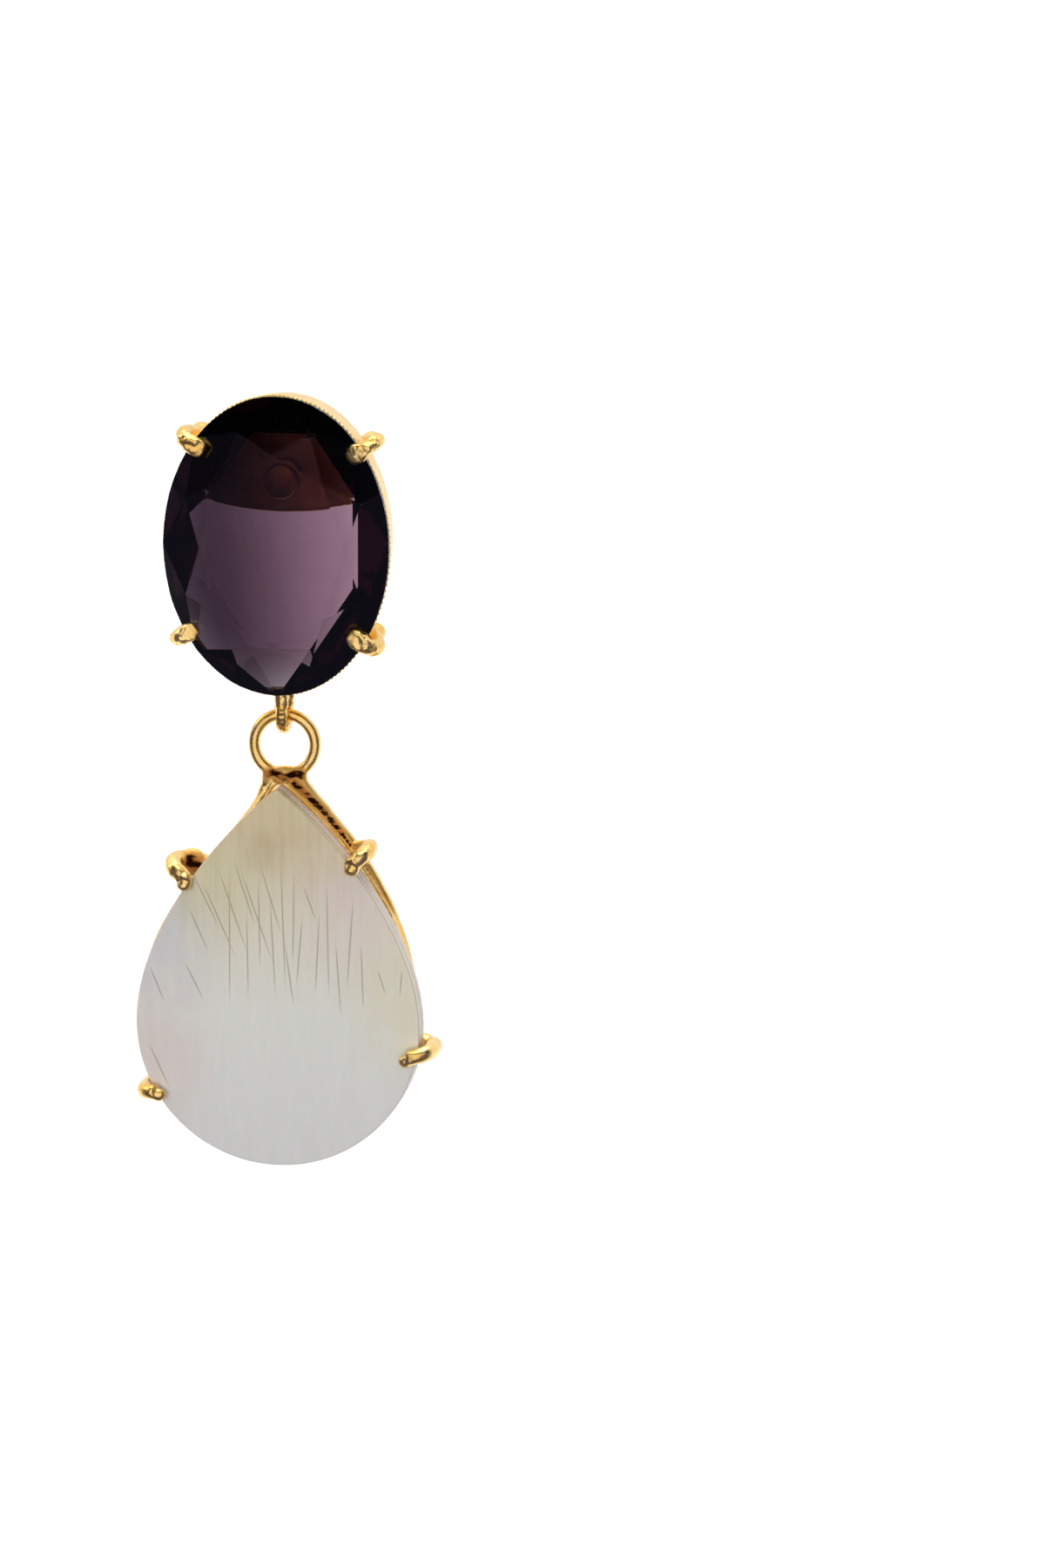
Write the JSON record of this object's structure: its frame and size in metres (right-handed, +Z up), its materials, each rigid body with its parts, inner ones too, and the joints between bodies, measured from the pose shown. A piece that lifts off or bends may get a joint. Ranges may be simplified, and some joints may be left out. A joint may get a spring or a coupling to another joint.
{
  "type": "drop earring",
  "caption": "Drop earring: a prong-set oval faceted violet stone in a gilt cup with a half-open back, and a pear-shaped mother-of-pearl drop that swings from a ring in a bail.",
  "frame": {"origin": "centre of the ear post where it leaves the setting's flat back, the place where the earring hangs from the ear", "axes": "+Z up along the hanging earring, +Y along the post into the ear, +X to the wearer's left, seen from the front to the viewer's right"},
  "size_m": [0.0205, 0.0169, 0.0517],
  "materials": {
    "gold": "gold-plated brass, polished, with a cast roughness at the solder",
    "amethyst": "polished faceted violet stone",
    "mother_of_pearl": "satin-polished shell, greenish grey with a rosy edge"
  },
  "bodies": {
    "root": {"top_setting": "gold", "amethyst": "amethyst", "ear_post": "gold"},
    "drop": {"drop_setting": "gold", "pearl_plate": "mother_of_pearl"}
  },
  "joints": [
    {"name": "drop_swing", "type": "hinge", "parent": "root", "child": "drop", "pos_m": [0, -0.00142, -0.01667], "axis": [0, 1, 0], "range_deg": [-75, 75]}
  ]
}
